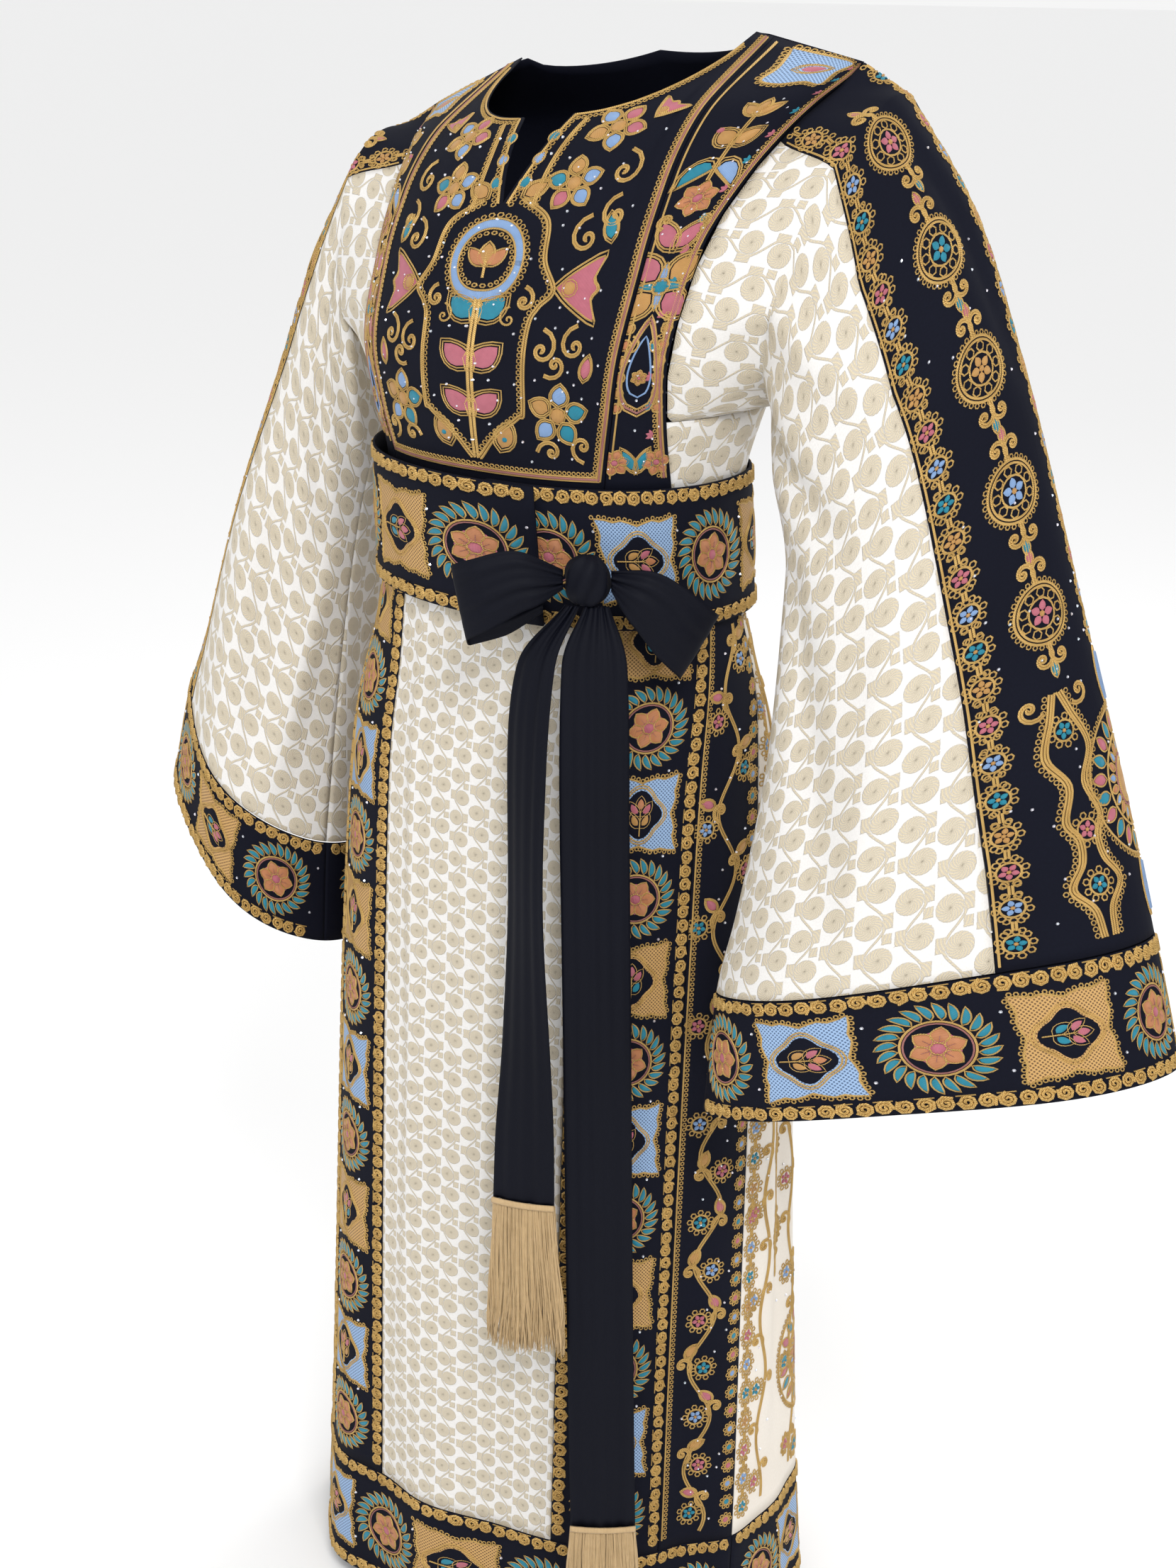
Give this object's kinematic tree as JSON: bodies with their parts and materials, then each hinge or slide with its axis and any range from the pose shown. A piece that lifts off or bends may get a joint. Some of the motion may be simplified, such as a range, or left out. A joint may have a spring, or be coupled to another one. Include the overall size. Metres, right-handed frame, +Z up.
{
  "type": "thobe",
  "caption": "Long worn thobe with bell sleeves: dark embroidered chest, bands and cuffs, cream brocade panels, and a wide belt with a tied sash and tassels.",
  "frame": {"origin": "midway between the shoulders, where the wearer carries the garment", "axes": "+Z up, the front faces -Y, the wearer's left side is +X"},
  "size_m": [1.0559, 0.3979, 1.4645],
  "materials": {
    "navy_crepe": "matt crepe with couched gold cord and satin stitch",
    "cream_brocade": "cream crepe with a woven gold leaf repeat",
    "cream_crepe": "plain cream crepe with gold cord columns",
    "black_ribbon": "soft blue-black crepe sash",
    "gold_fringe": "silky gold thread"
  },
  "bodies": {
    "root": {"chest_panel": "navy_crepe", "front_strip_left": "navy_crepe", "front_strip_right": "navy_crepe", "bodice_back": "navy_crepe", "skirt_band_left": "navy_crepe", "skirt_band_right": "navy_crepe", "skirt_strip_left": "navy_crepe", "skirt_strip_right": "navy_crepe", "hem_band_front": "navy_crepe", "hem_band_back": "navy_crepe", "sleeve_top_left": "navy_crepe", "sleeve_top_right": "navy_crepe", "cuff_left": "navy_crepe", "cuff_right": "navy_crepe", "belt": "navy_crepe", "underarm_left": "cream_brocade", "underarm_right": "cream_brocade", "skirt_front": "cream_brocade", "skirt_back": "cream_brocade", "sleeve_back_left": "cream_brocade", "sleeve_back_right": "cream_brocade", "sleeve_front_left": "cream_brocade", "sleeve_front_right": "cream_brocade", "skirt_side_left": "cream_crepe", "skirt_side_right": "cream_crepe", "bow_loop_right": "black_ribbon", "bow_loop_left": "black_ribbon", "bow_knot": "black_ribbon", "sash_long": "black_ribbon", "sash_short": "black_ribbon", "tassel_long": "gold_fringe", "tassel_short": "gold_fringe"}
  },
  "joints": []
}
